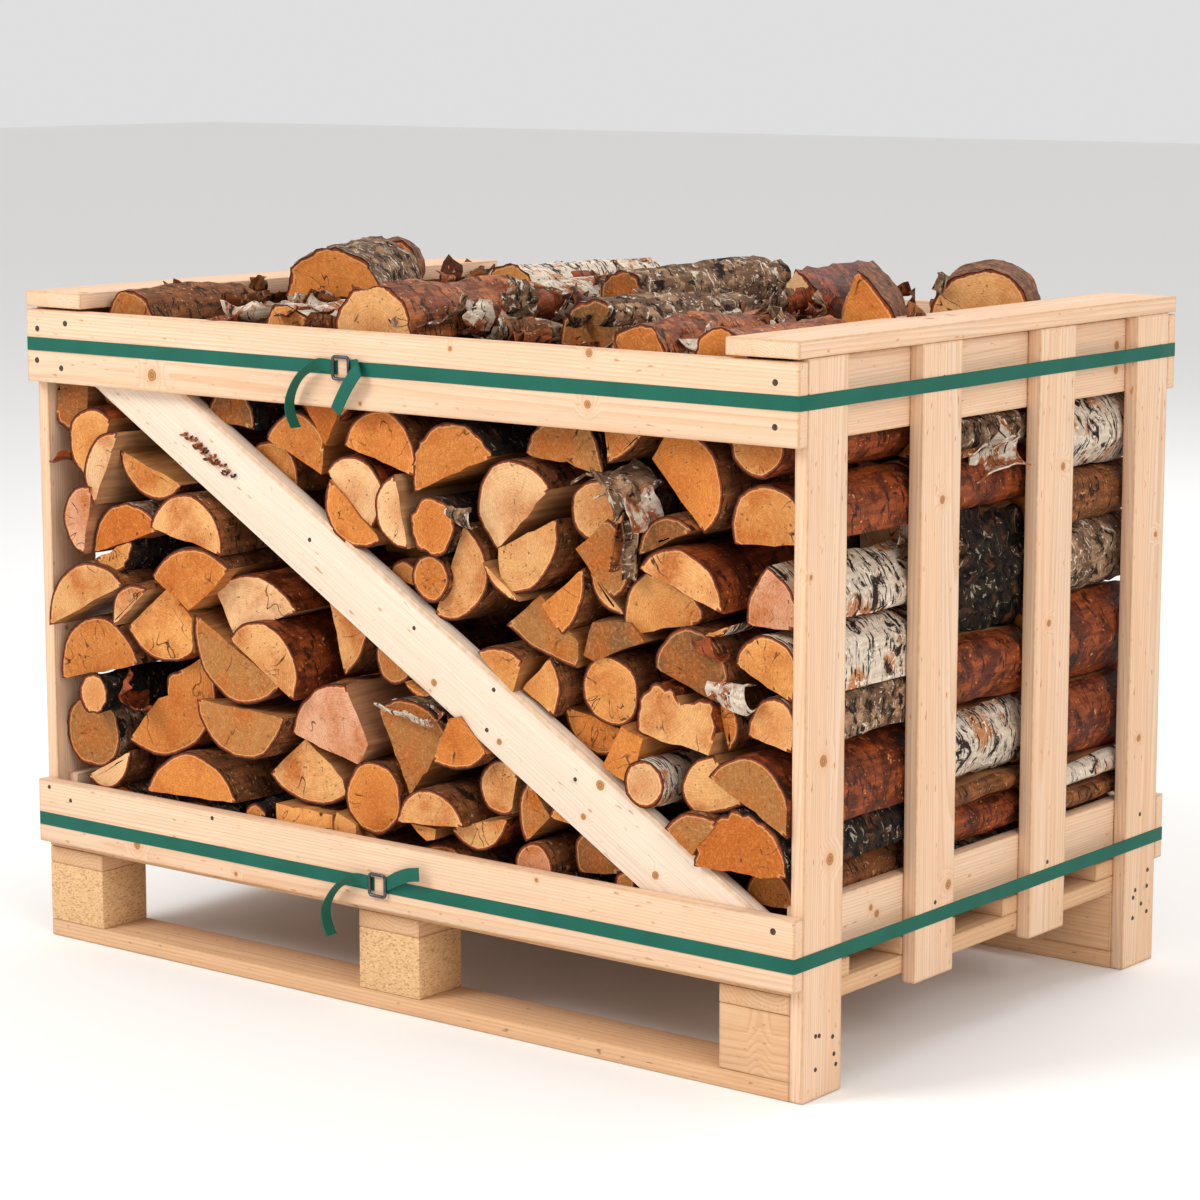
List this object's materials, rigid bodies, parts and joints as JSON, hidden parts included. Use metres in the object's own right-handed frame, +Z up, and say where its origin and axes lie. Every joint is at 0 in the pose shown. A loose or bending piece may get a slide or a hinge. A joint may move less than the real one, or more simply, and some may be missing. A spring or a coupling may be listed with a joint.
{
  "type": "firewood crate on pallet",
  "caption": "Slatted spruce crate on a two-skid pallet, filled with split birch firewood, braced on the long sides and bound with two green straps.",
  "frame": {"origin": "on the ground, under the middle of the crate's overall box", "axes": "+X along the crate's long side, +Y from the strap-buckle face to the back, +Z up"},
  "size_m": [1.221, 0.8433, 0.936],
  "materials": {
    "spruce_board": "sawn spruce, planed, unfinished",
    "pale_spruce": "fresh pale sawn spruce, unfinished",
    "pallet_wood": "rough-sawn pallet wood",
    "pressed_block": "pressed chip block, fine speckle",
    "birch_log": "split birch with bark, sawn ends",
    "webbing": "flat woven polyester strapping",
    "wire_steel": "dark phosphated wire"
  },
  "bodies": {
    "root": {"brace_front": "pale_spruce", "brace_rear": "pale_spruce", "buckle_lower": "wire_steel", "buckle_upper": "wire_steel", "cap_rail_left": "pale_spruce", "cap_rail_right": "pale_spruce", "end_board_bottom_left": "spruce_board", "end_board_bottom_right": "spruce_board", "end_board_top_left": "spruce_board", "end_board_top_right": "spruce_board", "log_row_front": "birch_log", "log_row_middle": "birch_log", "log_row_rear": "birch_log", "pallet_block_front_left": "pressed_block", "pallet_block_front_middle": "pressed_block", "pallet_block_front_right": "pallet_wood", "pallet_block_rear_left": "pressed_block", "pallet_block_rear_middle": "pressed_block", "pallet_block_rear_right": "pallet_wood", "pallet_deck_board_1": "pallet_wood", "pallet_deck_board_2": "pallet_wood", "pallet_deck_board_3": "pallet_wood", "pallet_deck_board_4": "pallet_wood", "pallet_skid_front": "pallet_wood", "pallet_skid_rear": "pallet_wood", "pallet_stringer_left": "pallet_wood", "pallet_stringer_middle": "pallet_wood", "pallet_stringer_right": "pallet_wood", "post_left_front": "spruce_board", "post_left_rear": "spruce_board", "post_right_front": "spruce_board", "post_right_rear": "spruce_board", "side_board_bottom_front": "spruce_board", "side_board_bottom_rear": "spruce_board", "side_board_top_front": "spruce_board", "side_board_top_rear": "spruce_board", "slat_left_front": "spruce_board", "slat_left_rear": "spruce_board", "slat_right_front": "spruce_board", "slat_right_rear": "spruce_board", "strap_lower": "webbing", "strap_upper": "webbing", "top_log_01": "birch_log", "top_log_02": "birch_log", "top_log_03": "birch_log", "top_log_04": "birch_log", "top_log_05": "birch_log", "top_log_06": "birch_log", "top_log_07": "birch_log", "top_log_08": "birch_log", "top_log_09": "birch_log", "top_log_10": "birch_log", "top_log_11": "birch_log", "top_log_12": "birch_log", "top_log_13": "birch_log", "top_log_14": "birch_log", "top_log_15": "birch_log"}
  },
  "joints": []
}
